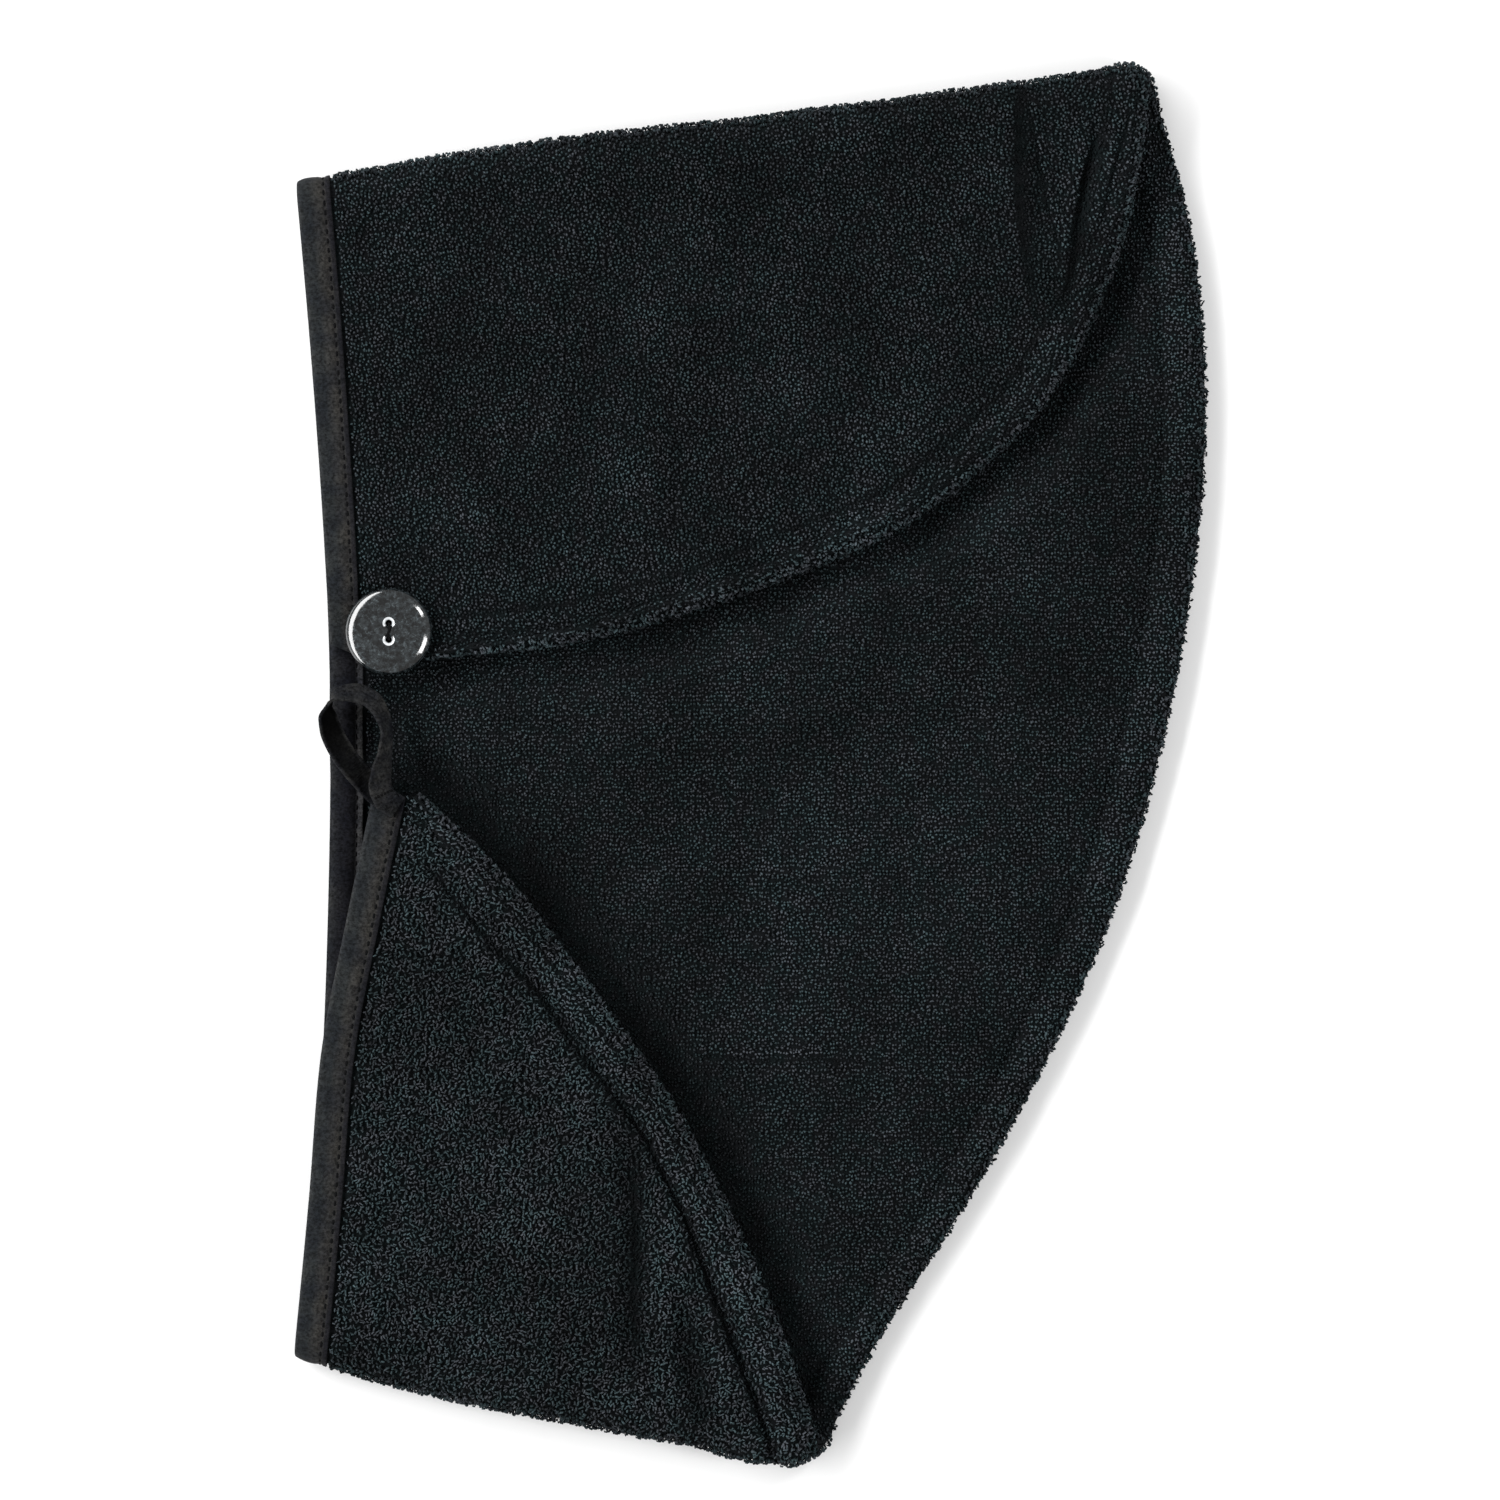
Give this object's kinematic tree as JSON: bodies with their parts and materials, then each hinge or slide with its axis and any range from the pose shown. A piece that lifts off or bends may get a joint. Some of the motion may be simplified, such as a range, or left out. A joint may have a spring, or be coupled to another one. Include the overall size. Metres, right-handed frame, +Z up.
{
  "type": "hair turban towel",
  "caption": "Terry hair turban lying folded: two panels sewn along a curved seam, a tape-bound open edge, a sewn-on button and a tape loop.",
  "frame": {"origin": "middle of the folded towel's outline, on the surface that it lies on", "axes": "+Y along the towel towards the fold of the wide head end, +X across it from the bound edge to the seam, +Z up"},
  "size_m": [0.264, 0.4058, 0.0209],
  "materials": {
    "terry": "looped terry pile, black with a slight teal cast, matte",
    "binding_tape": "smooth woven tape, dark grey, matte with a slight sheen",
    "button_plastic": "glossy dark grey, slightly mottled",
    "sewing_thread": "black sewing thread, matte"
  },
  "bodies": {
    "root": {"under_panel": "terry", "upper_panel": "terry", "under_binding": "binding_tape", "upper_binding": "binding_tape", "button_loop": "binding_tape", "button": "button_plastic", "button_thread": "sewing_thread"}
  },
  "joints": []
}
